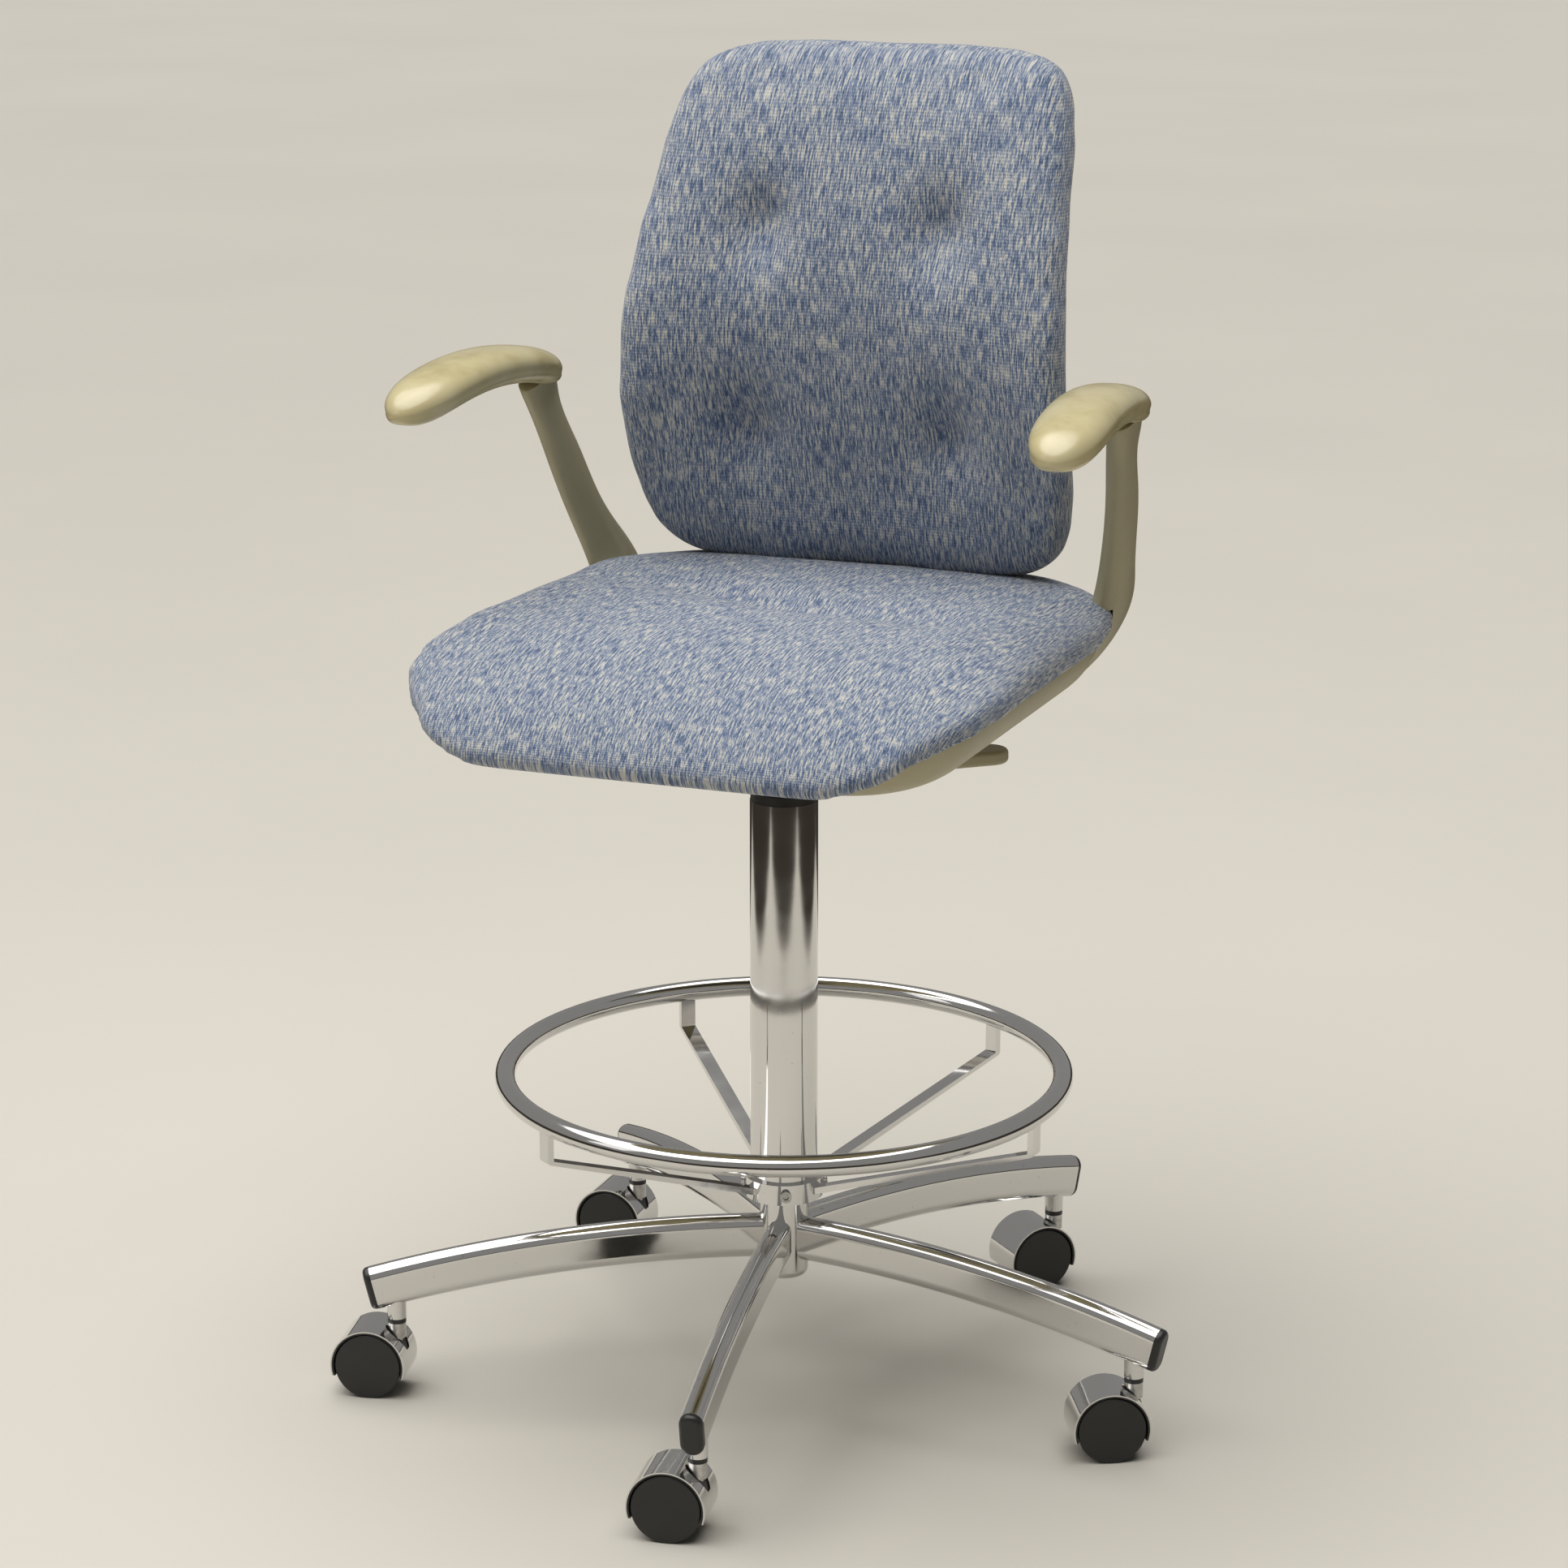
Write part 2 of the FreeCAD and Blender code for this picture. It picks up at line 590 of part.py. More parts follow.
def make_seat():
    cushion = seat_cushion()
    keep("seat_cushion", cushion)
    shell = seat_shell()
    shell = solid_of(shell.cut(cylinder(30, SHELL_BOTTOM_Z - 5, SHELL_BOTTOM_Z + 8)))
    screws = []
    for x in (-SCREW_X, SCREW_X):
        for y in SCREW_Y:
            shell = shell.cut(cylinder(3.2, SHELL_BOTTOM_Z - 5, SHELL_BOTTOM_Z + 8, x, y))
            shank = cylinder(3.0, SHELL_BOTTOM_Z - 8, SHELL_BOTTOM_Z + SHELL_T, x, y)
            head = cylinder(6.0, SHELL_BOTTOM_Z + SHELL_T, SHELL_BOTTOM_Z + SHELL_T + 4, x, y)
            screws.append(shank.fuse(head).removeSplitter())
    keep("seat_shell", solid_of(shell))
    keep("seat_screws", Part.makeCompound(screws))


# ---- mechanism ----

def make_mechanism():
    top = SHELL_BOTTOM_Z
    box = block(-BOX_HALF_W, BOX_HALF_W, BOX_FRONT, BOX_REAR, BOX_BOTTOM, top)
    hollow = block(-BOX_HALF_W + BOX_T, BOX_HALF_W - BOX_T, BOX_FRONT + BOX_T,
                   BOX_REAR - BOX_T, BOX_BOTTOM + BOX_T, top + 1)
    box = box.cut(hollow)
    box = box.fuse(cylinder(BOSS_R, BOX_BOTTOM, BOX_BOTTOM + 30))
    for x in (-SCREW_X, SCREW_X):
        for y in SCREW_Y:
            box = box.fuse(cylinder(8.0, BOX_BOTTOM, top, x, y))
            box = box.cut(cylinder(3.0, top - 8, top + 1, x, y))
    for side in (-1, 1):
        x0, x1 = sorted((side * (KNUCKLE_HALF_W + 0.5), side * (KNUCKLE_HALF_W + 0.5 + EAR_T)))
        ear = block(x0, x1, BOX_REAR - 1, HINGE_Y, HINGE_Z - 12, HINGE_Z + 12)
        ear = ear.fuse(bar_x(12.0, x0, x1, HINGE_Y, HINGE_Z))
        box = box.fuse(ear)
    box = box.cut(bar_x(HINGE_PIN_R, -60, 60, HINGE_Y, HINGE_Z))
    box = box.cut(cylinder(CYLINDER_R, BOX_BOTTOM - 1, BOX_BOTTOM + 31))
    slot = block(20, 90, -LEVER_W / 2 - 2, LEVER_W / 2 + 2, LEVER_Z - 16, top + 1)
    slot.rotate(ORIGIN, Z_AXIS, LEVER_AT)
    keeper = [block(LEVER_PIVOT_X - 5, LEVER_PIVOT_X + 5, y0, y0 + 3, BOX_BOTTOM, top - 1)
              for y0 in (-LEVER_W / 2 - 3.5, LEVER_W / 2 + 0.5)]
    box = box.cut(slot)
    for plate in keeper:
        plate.rotate(ORIGIN, Z_AXIS, LEVER_AT)
        box = box.fuse(plate)
    pin = bar_y(2.5, -LEVER_W / 2 - 3.5, LEVER_W / 2 + 3.5, LEVER_PIVOT_X, LEVER_Z + LEVER_T / 2)
    pin.rotate(ORIGIN, Z_AXIS, LEVER_AT)
    box = box.cut(pin)
    keep("mechanism_box", solid_of(box.removeSplitter()))
    keep("lever_pin", pin)
    pin_half = KNUCKLE_HALF_W + EAR_T + 2
    keep("hinge_pin", bar_x(HINGE_PIN_R, -pin_half, pin_half, HINGE_Y, HINGE_Z))
    keep("height_lever", height_lever())


def height_lever():
    """A flat lever over the gas button, out through the box's side and down to a paddle."""
    z0 = LEVER_Z
    z1 = LEVER_Z + LEVER_T
    low = PADDLE_Z - LEVER_T / 2
    side = [
        V(-8, 0, z0), V(72, 0, z0), V(PADDLE_X0, 0, low), V(PADDLE_X0 + 20, 0, low),
        V(PADDLE_X0 + 20, 0, low + LEVER_T), V(PADDLE_X0 + 1, 0, low + LEVER_T),
        V(73, 0, z1), V(-8, 0, z1),
    ]
    face = Part.Face(Part.makePolygon(side + [side[0]]))
    face.translate(V(0, -LEVER_W / 2, 0))
    stem = face.extrude(V(0, LEVER_W, 0))
    hub = bar_y(5.0, -LEVER_W / 2, LEVER_W / 2, LEVER_PIVOT_X, z0 + LEVER_T / 2)
    bore = bar_y(2.5 + RUNNING, -20, 20, LEVER_PIVOT_X, z0 + LEVER_T / 2)
    end_r = PADDLE_W / 2
    pad = block(PADDLE_X0 + 4, PADDLE_X1 - end_r, -end_r, end_r,
                PADDLE_Z - PADDLE_T / 2, PADDLE_Z + PADDLE_T / 2)
    nose = cylinder(end_r, PADDLE_Z - PADDLE_T / 2, PADDLE_Z + PADDLE_T / 2, PADDLE_X1 - end_r)
    pad = pad.fuse(nose).removeSplitter()
    rims = [e for e in pad.Edges if abs(abs(e.CenterOfMass.z - PADDLE_Z) - PADDLE_T / 2) < 0.1]
    pad = pad.makeFillet(3.5, rims)
    lever = stem.fuse([hub, pad]).cut(bore)
    lever.rotate(ORIGIN, Z_AXIS, LEVER_AT)
    return solid_of(lever)


# ---- armrests ----

def oval(centre, along, across, half_a, half_b):
    """A closed oval wire round a centre, in the plane of two unit directions."""
    n = 12
    points = []
    for k in range(n):
        a = 2 * math.pi * k / n
        points.append(centre + along * (half_a * math.cos(a)) + across * (half_b * math.sin(a)))
    curve = Part.BSplineCurve()
    curve.interpolate(points, PeriodicFlag=True)
    return Part.Wire([curve.toShape()])


def arm_post():
    """The right-hand post: down from the pad, leaning in, and round under the shell."""
    stations = POST_STATIONS + FOOT_STATIONS
    centres = [V(*s[:3]) for s in stations]
    wires = []
    for n, s in enumerate(stations):
        before = centres[max(n - 1, 0)]
        after = centres[min(n + 1, len(centres) - 1)]
        along_path = (after - before).normalize()
        front_back = V(0, 1, 0) - along_path * along_path.y
        front_back.normalize()
        across = front_back.cross(along_path).normalize()
        wires.append(oval(centres[n], across, front_back, s[3], s[4]))
    return Part.makeLoft(wires, True, False)


def arm_pad():
    """The right-hand pad: a gently arched bar with round ends, splayed towards its front."""
    turn = math.radians(PAD_SPLAY)
    forward = V(math.sin(turn), -math.cos(turn), 0)
    sideways = V(math.cos(turn), math.sin(turn), 0)
    sections = []
    for t in (-0.985, -0.94, -0.8, -0.5, 0.0, 0.5, 0.8, 0.94, 0.985):
        size = (1 - abs(t) ** 6) ** 0.5
        middle = V(*PAD_AT) + forward * (PAD_L / 2 * t) - Z_AXIS * (PAD_ARCH * t * t)
        sections.append(oval(middle, sideways, Z_AXIS, PAD_W / 2 * size, PAD_T / 2 * size))
    return Part.makeLoft(sections, True, False)


def make_armrests():
    shell = shell_volume(0.0)
    pad = arm_pad()
    post = solid_of(arm_post().cut(shell).cut(seat_cushion()).cut(pad))
    keep("arm_post_right", post)
    keep("arm_post_left", mirrored(post))
    keep("arm_pad_right", pad)
    keep("arm_pad_left", mirrored(pad))


# ---- backrest ----

def back_section(y_front, wrap, thickness, z):
    """One level of the back: an arc in front, an arc behind and short straight ends."""
    half = BACK_HALF_W + 5
    y_rear = y_front + thickness
    front = Part.Arc(V(-half, y_front - wrap, z), V(0, y_front, z), V(half, y_front - wrap, z))
    rear = Part.Arc(V(half, y_rear - wrap, z), V(0, y_rear, z), V(-half, y_rear - wrap, z))
    right = Part.LineSegment(V(half, y_front - wrap, z), V(half, y_rear - wrap, z))
    left = Part.LineSegment(V(-half, y_rear - wrap, z), V(-half, y_front - wrap, z))
    return Part.Wire([front.toShape(), right.toShape(), rear.toShape(), left.toShape()])


def back_slab(from_front, thickness):
    """A curved slab that follows the back's levels, starting from_front behind its face."""
    wires = [back_section(y + from_front, wrap, thickness, z) for z, y, wrap in BACK_LEVELS]
    return Part.makeLoft(wires, True, False)


def back_outline(inset):
    """The back's front-view outline, extruded front to back."""
    right = [(x, z) for z, x in BACK_SIDE]
    left = [(-x, z) for x, z in reversed(right)]
    points = [(0.0, BACK_BOTTOM)] + right + [(0.0, BACK_TOP)] + left
    middle_z = (BACK_BOTTOM + BACK_TOP) / 2
    narrower = 1 - inset / BACK_HALF_W
    lower = 1 - inset / (BACK_TOP - middle_z)
    curve = Part.BSplineCurve()
    curve.interpolate(
        [V(x * narrower, 30, middle_z + (z - middle_z) * lower) for x, z in points], PeriodicFlag=True
    )
    return Part.Face(Part.Wire([curve.toShape()])).extrude(V(0, 270, 0))


def make_backrest():
    outline = back_outline(0.0)
    cushion = solid_of(back_slab(0.0, BACK_T).common(outline))
    keep("back_cushion", cushion)
    shell = solid_of(back_slab(BACK_T, BACK_SHELL_T).common(back_outline(BACK_SHELL_INSET)))
    keep("back_shell", shell)

    y0 = BAR_Y - BAR_T / 2
    y1 = BAR_Y + BAR_T / 2
    z0 = HINGE_Z - BAR_T / 2
    bend = 26.0
    outline = [
        V(0, HINGE_Y, z0), V(0, y1, z0), V(0, y1, BAR_TOP),
        V(0, y0, BAR_TOP), V(0, y0, z0 + BAR_T), V(0, HINGE_Y, z0 + BAR_T),
    ]
    face = Part.Face(Part.makePolygon(outline + [outline[0]]))
    face.translate(V(-BAR_W / 2, 0, 0))
    bar = face.extrude(V(BAR_W, 0, 0))
    outer = [e for e in bar.Edges if abs(e.CenterOfMass.y - y1) < 0.1
             and abs(e.CenterOfMass.z - z0) < 0.1]
    bar = bar.makeFillet(bend, outer)
    inner = [e for e in bar.Edges if abs(e.CenterOfMass.y - y0) < 0.1
             and abs(e.CenterOfMass.z - z0 - BAR_T) < 0.1]
    bar = bar.makeFillet(bend - BAR_T, inner)
    bar = bar.fuse(bar_x(KNUCKLE_R, -KNUCKLE_HALF_W, KNUCKLE_HALF_W, HINGE_Y, HINGE_Z))
    bar = bar.cut(bar_x(HINGE_PIN_R + RUNNING, -60, 60, HINGE_Y, HINGE_Z))
    keep("back_bar", solid_of(bar.removeSplitter()))

    carrier = block(-SLIDE_HALF_W, SLIDE_HALF_W, 150, SLIDE_REAR, SLIDE_Z0, SLIDE_Z1)
    edges = [e for e in carrier.Edges if abs(e.CenterOfMass.y - SLIDE_REAR) < 0.1]
    carrier = carrier.makeFillet(6.0, edges)
    carrier = carrier.cut(back_slab(-200.0, 200.0 + BACK_T + BACK_SHELL_T + 0.05))
    channel = block(-BAR_W / 2 - RUNNING, BAR_W / 2 + RUNNING, y0 - RUNNING, y1 + RUNNING, 500, 900)
    knob_z = (SLIDE_Z0 + SLIDE_Z1) / 2
    carrier = carrier.cut(channel).cut(bar_y(4.0 + RUNNING, BAR_Y, 300, 0, knob_z))
    keep("back_slide", solid_of(carrier))
    grip = bar_y(KNOB_R, SLIDE_REAR + 3, SLIDE_REAR + 3 + KNOB_L, 0, knob_z)
    rims = [e for e in grip.Edges if e.Curve.TypeId == "Part::GeomCircle"]
    grip = grip.makeFillet(3.0, rims)
    for k in range(8):
        a = math.radians(45.0 * k)
        x = (KNOB_R + 3.5) * math.cos(a)
        z = knob_z + (KNOB_R + 3.5) * math.sin(a)
        grip = grip.cut(bar_y(6.0, SLIDE_REAR, 300, x, z))
    stud = bar_y(4.0, y1 + 0.1, SLIDE_REAR + 8, 0, knob_z)
    keep("clamp_knob", solid_of(grip.fuse(stud)))


def main():
    os.makedirs("parts", exist_ok=True)
    make_casters()
    make_base()
    make_footring()
    make_column()
    make_seat()
    make_mechanism()
    make_armrests()
    make_backrest()


main()
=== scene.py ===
import json
import math

import bmesh
import bpy
import numpy as np
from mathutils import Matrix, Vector


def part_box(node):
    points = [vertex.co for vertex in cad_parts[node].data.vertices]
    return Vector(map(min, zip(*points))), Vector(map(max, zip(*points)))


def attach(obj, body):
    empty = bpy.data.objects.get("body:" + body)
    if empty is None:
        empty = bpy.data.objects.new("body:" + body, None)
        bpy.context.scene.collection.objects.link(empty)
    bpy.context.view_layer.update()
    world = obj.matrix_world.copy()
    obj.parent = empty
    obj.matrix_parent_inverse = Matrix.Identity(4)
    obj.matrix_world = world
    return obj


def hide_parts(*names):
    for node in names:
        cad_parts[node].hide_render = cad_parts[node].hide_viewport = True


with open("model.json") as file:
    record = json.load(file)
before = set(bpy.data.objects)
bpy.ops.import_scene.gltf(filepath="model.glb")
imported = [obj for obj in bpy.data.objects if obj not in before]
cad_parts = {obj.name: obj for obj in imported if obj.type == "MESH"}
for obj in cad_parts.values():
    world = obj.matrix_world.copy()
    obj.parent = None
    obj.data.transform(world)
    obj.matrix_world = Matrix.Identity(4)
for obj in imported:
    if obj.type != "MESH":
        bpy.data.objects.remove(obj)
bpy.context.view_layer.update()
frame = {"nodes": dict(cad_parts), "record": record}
NODES = frame["nodes"]

# ---- view ----
VIEW_AZIMUTH = math.radians(21.4)      # the camera stands this far round to the viewer's right
VIEW_DISTANCE = 3.1087                 # metres from the column, along the floor
VIEW_HEIGHT = 1.3115
VIEW_PITCH = math.radians(14.984)
VIEW_LENS = 97.6                       # millimetres, on a 36 mm sensor

# ---- cushions ----
VOXEL = 0.005
PRESSURE = 4.0
SIM_FRAMES = 20
SEAT_SWELL = 0.006                     # how far a point of the seat may move while it is puffed up
BACK_SWELL = 0.006
FIRST_ROUNDING = 12                    # smoothing steps before and after the cover is puffed up
SEAT_ROUNDING = 80
BACK_ROUNDING = 38
SEAT_OUT = 0.0085                      # gives back what rounding the edges takes away
BACK_OUT = 0.0050

# ---- seat ----
NOSE_ROLL = 0.024                      # how much further the seat's front rolls down
NOSE_FROM = -0.12
LIP_DROP = 0.010                       # how far the cover reaches down over the shell at the front
LIP_REACH = 1.6                        # the larger, the further back that reaches
REAR_RISE = 0.006
REAR_FROM = 0.08
CREASE_Y = 0.016                       # the crease across the seat, at its middle
CREASE_SLANT = -0.21
CREASE_DEPTH = 0.010
CREASE_WIDTH = 0.026
CREASE_HALF_L = 0.17
FRONT_TURN = 0.09                      # the weave turns down over the front within this length
SIDE_TURN = 0.035                      # and down over the sides within this one,
SIDE_INSET = 0.045                     # which starts this far in

# ---- back ----
BACK_CHORD = 0.181
BACK_FRONT = (                         # height, the front's middle, how far the sides stand forward
    (0.590, 0.164, 0.024), (0.700, 0.150, 0.038), (0.750, 0.137, 0.042), (0.800, 0.130, 0.037),
    (0.850, 0.133, 0.027), (0.900, 0.147, 0.018), (0.950, 0.169, 0.013), (1.030, 0.219, 0.011),
)
EDGE_ROLL = 0.006                      # the front's rounded edge, before the weave turns over
TUFT_DEPTH = 0.024
TUFT_HALF_W = 0.025
TUFT_HALF_H = 0.031
TUFT_ROWS = ((0.883, 0.073), (0.728, 0.082))    # height, distance from the middle

# ---- arm pads ----
PAD_SPLAY = math.radians(4.0)
PAD_ARCH = 0.018
PAD_WIDTH = 0.056
PAD_UP = 0.0145                        # the crown's height above the seam
PAD_DOWN = 0.0145                      # the base's depth below it
PAD_SEAM = 0.0009                      # the depth of the groove along the seam
PAD_POINTS = 48                        # points round a section
PAD_RINGS = 46                         # sections along the pad

# ---- colours, linear ----
NAVY = (0.050, 0.080, 0.150)
DENIM = (0.120, 0.165, 0.275)
SLATE = (0.240, 0.280, 0.355)
OATMEAL = (0.52, 0.51, 0.465)
KHAKI = (0.375, 0.338, 0.21)
CREAM = (0.52, 0.455, 0.245)
AMBER = (0.38, 0.315, 0.13)
CHROME = (0.68, 0.672, 0.66)
WORN_CREAM = (0.62, 0.55, 0.34)
SPECK = (0.52, 0.49, 0.45)
ZINC_DARK = (0.42, 0.41, 0.39)
ZINC = (0.60, 0.59, 0.57)
NYLON = (0.012, 0.012, 0.0115)
NYLON_WORN = (0.02, 0.02, 0.019)
ENAMEL = (0.016, 0.016, 0.017)
ENAMEL_WORN = (0.028, 0.028, 0.028)
STAGE = (0.600, 0.573, 0.516)
SURROUND = (0.655, 0.61, 0.54)
LIGHT = (1.0, 0.985, 0.96)
# painted shade: the dark the floor shows in reflections past the paper's edges, standing for the unlit
# room
PAINTED_ROOM_SHADE = (0.036, 0.030, 0.024)

# ---- studio ----
FLOOR_HALF = 40.0
# past the paper's edges the floor is painted dark in reflections only: painted shade of the room
PAPER_FRONT = 1.12                     # the paper's front edge, from the column
PAPER_HALF_W = 1.12
PAPER_BLUR = 0.12
FILL_STRENGTH = 0.07                   # the surround's strength on matt surfaces and on polished ones
MIRROR_STRENGTH = 0.28
SKY_STRENGTH = 3.15
SKY_SPREAD = math.radians(80)
SKY_TILT = (math.radians(5), math.radians(-10), 0)
SOFT_BOXES = (                         # name, place, aim, width, height, power
    ("overhead", (-0.3, -0.4, 3.0), (0, 0, 0.4), 2.6, 2.2, 24),
    ("left_bank", (-2.6, -2.2, 1.9), (0, 0, 0.6), 1.1, 1.6, 5),
)


# ---- node helpers ----

def material(name):
    made = bpy.data.materials.new(name)
    made.use_nodes = True
    tree = made.node_tree
    return made, tree, tree.nodes["Principled BSDF"]


def node(tree, kind, settings=None, **inputs):
    """Adds a shader node, with its settings and the values of its named inputs."""
    made = tree.nodes.new(kind)
    for key, value in (settings or {}).items():
        setattr(made, key, value)
    for key, value in inputs.items():
        made.inputs[key].default_value = value
    return made


def join(tree, source, target):
    tree.links.new(source, target)


def scaled(tree, coordinates, scale):
    """The coordinates multiplied by a scale in each direction."""
    made = node(tree, "ShaderNodeMapping")
    made.inputs["Scale"].default_value = scale
    join(tree, coordinates, made.inputs["Vector"])
    return made.outputs["Vector"]


def noise(tree, coordinates, scale, detail=3.0, roughness=0.5):
    made = node(tree, "ShaderNodeTexNoise", None, Scale=scale, Detail=detail, Roughness=roughness)
    join(tree, coordinates, made.inputs["Vector"])
    return made.outputs["Fac"]


def math_node(tree, operation, a, b):
    """A maths node on two inputs, each an output socket or a number."""
    made = node(tree, "ShaderNodeMath", {"operation": operation})
    for k, value in enumerate((a, b)):
        if isinstance(value, (int, float)):
            made.inputs[k].default_value = value
        else:
            join(tree, value, made.inputs[k])
    return made.outputs["Value"]


def ramp(tree, factor, stops):
    """A colour ramp: stops are (place, linear colour)."""
    made = node(tree, "ShaderNodeValToRGB")
    elements = made.color_ramp.elements
    while len(elements) < len(stops):
        elements.new(0.5)
    for element, (place, colour) in zip(elements, stops):
        element.position = place
        element.color = (*colour, 1.0)
    join(tree, factor, made.inputs["Fac"])
    return made.outputs["Color"]


def spread(tree, factor, low, high):
    """Maps 0..1 to low..high."""
    made = node(tree, "ShaderNodeMapRange")
    made.inputs["To Min"].default_value = low
    made.inputs["To Max"].default_value = high
    join(tree, factor, made.inputs["Value"])
    return made.outputs["Result"]


def bump(tree, shader, height, distance, strength=1.0):
    made = node(tree, "ShaderNodeBump", None, Strength=strength, Distance=distance)
    join(tree, height, made.inputs["Height"])
    join(tree, made.outputs["Normal"], shader.inputs["Normal"])


def object_coordinates(tree):
    return node(tree, "ShaderNodeTexCoord").outputs["Object"]


# ---- materials ----

def melange_fabric():
    """Woven melange: short blue and oatmeal slubs along the warp, over a fine thread relief."""
    made, tree, shader = material("melange_fabric")
    weave = node(tree, "ShaderNodeAttribute", {"attribute_name": "weave"}).outputs["Vector"]
    slubs = noise(tree, scaled(tree, weave, (740, 72, 1)), 1.0, 3.0, 0.60)
    threads = noise(tree, scaled(tree, weave, (1500, 300, 1)), 1.0, 2.0, 0.55)
    patches = noise(tree, scaled(tree, weave, (46, 20, 1)), 1.0, 3.0, 0.55)
    mixed = math_node(tree, "ADD", math_node(tree, "MULTIPLY", slubs, 0.62),
                      math_node(tree, "MULTIPLY", threads, 0.30))
    mixed = math_node(tree, "ADD", mixed, math_node(tree, "MULTIPLY", patches, 0.08))
    colour = ramp(tree, mixed, (
        (0.39, NAVY), (0.46, DENIM), (0.51, SLATE), (0.575, OATMEAL), (0.72, OATMEAL),
    ))
    join(tree, colour, shader.inputs["Base Color"])
    ribs = node(tree, "ShaderNodeTexWave", {"wave_type": "BANDS", "bands_direction": "X"},
                Scale=160.0, Distortion=2.0)
    join(tree, weave, ribs.inputs["Vector"])
    picks = node(tree, "ShaderNodeTexWave", {"wave_type": "BANDS", "bands_direction": "Y"},
                 Scale=130.0, Distortion=2.5)
    join(tree, weave, picks.inputs["Vector"])
    relief = math_node(tree, "ADD", ribs.outputs["Fac"], picks.outputs["Fac"])
    relief = math_node(tree, "ADD", relief, math_node(tree, "MULTIPLY", mixed, 3.0))
    bump(tree, shader, relief, 0.0003, 0.6)
    shader.inputs["Roughness"].default_value = 0.92
    shader.inputs["Specular IOR Level"].default_value = 0.25
    shader.inputs["Sheen Weight"].default_value = 0.22
    shader.inputs["Sheen Roughness"].default_value = 0.55
    return made


def chrome():
    """Plated tube: mirror-bright with the faint ripple of bent tube and a little haze."""
    made, tree, shader = material("chrome")
    where = object_coordinates(tree)
    shader.inputs["Metallic"].default_value = 1.0
    haze = noise(tree, where, 38.0, 4.0, 0.6)
    join(tree, spread(tree, haze, 0.03, 0.15), shader.inputs["Roughness"])
    spots = noise(tree, where, 310.0, 2.0, 0.5)
    join(tree, ramp(tree, spots, ((0.22, SPECK), (0.30, CHROME))),
         shader.inputs["Base Color"])
    bump(tree, shader, noise(tree, where, 26.0, 1.0, 0.4), 0.0006, 0.25)
    return made


def steel():
    """Bright zinc on small hardware."""
    made, tree, shader = material("zinc_steel")
    where = object_coordinates(tree)
    shader.inputs["Metallic"].default_value = 1.0
    grain = noise(tree, where, 240.0, 3.0, 0.6)
    join(tree, ramp(tree, grain, ((0.35, ZINC_DARK), (0.65, ZINC))),
         shader.inputs["Base Color"])
    join(tree, spread(tree, grain, 0.22, 0.42), shader.inputs["Roughness"])
    bump(tree, shader, grain, 0.00008, 0.6)
    return made


def moulding(name, main, worn, rough_low, rough_high, grain_scale, grain_depth, coat=0.0):
    """Moulded plastic: a fine grain, slow changes of tone, and paler scuffs."""
    made, tree, shader = material(name)
    where = object_coordinates(tree)
    tone = noise(tree, where, 9.0, 4.0, 0.6)
    join(tree, ramp(tree, tone, ((0.30, worn), (0.55, main), (0.80, main))), shader.inputs["Base Color"])
    scuffs = noise(tree, scaled(tree, where, (55, 160, 55)), 1.0, 4.0, 0.65)
    join(tree, spread(tree, scuffs, rough_low, rough_high), shader.inputs["Roughness"])
    bump(tree, shader, noise(tree, where, grain_scale, 2.0, 0.5), grain_depth, 0.5)
    shader.inputs["Coat Weight"].default_value = coat
    shader.inputs["Coat Roughness"].default_value = 0.12
    return made


def pad_plastic():
    """Glossy cream skin foam, yellower in patches that fall at random."""
    made, tree, shader = material("cream_skin")
    where = object_coordinates(tree)
    tone = noise(tree, where, 16.0, 4.0, 0.6)
    join(tree, ramp(tree, tone, ((0.30, AMBER), (0.50, CREAM), (0.80, WORN_CREAM))),
         shader.inputs["Base Color"])
    scuffs = noise(tree, scaled(tree, where, (60, 20, 60)), 1.0, 4.0, 0.7)
    join(tree, spread(tree, scuffs, 0.20, 0.30), shader.inputs["Roughness"])
    bump(tree, shader, noise(tree, where, 70.0, 2.0, 0.5), 0.00006, 0.4)
    shader.inputs["Coat Weight"].default_value = 0.4
    shader.inputs["Coat Roughness"].default_value = 0.16
    return made


def past_edge(tree, where, direction, edge):
    """0 up to an edge of the paper, 1 past it; direction is the level direction across the edge."""
    along = node(tree, "ShaderNodeVectorMath", {"operation": "DOT_PRODUCT"})
    along.inputs[1].default_value = direction
    join(tree, where, along.inputs[0])
    distance = math_node(tree, "ABSOLUTE", along.outputs["Value"], 0.0)
    made = node(tree, "ShaderNodeMapRange")
    made.inputs["From Min"].default_value = edge
    made.inputs["From Max"].default_value = edge + PAPER_BLUR
    join(tree, distance, made.inputs["Value"])
    return made.outputs["Result"]


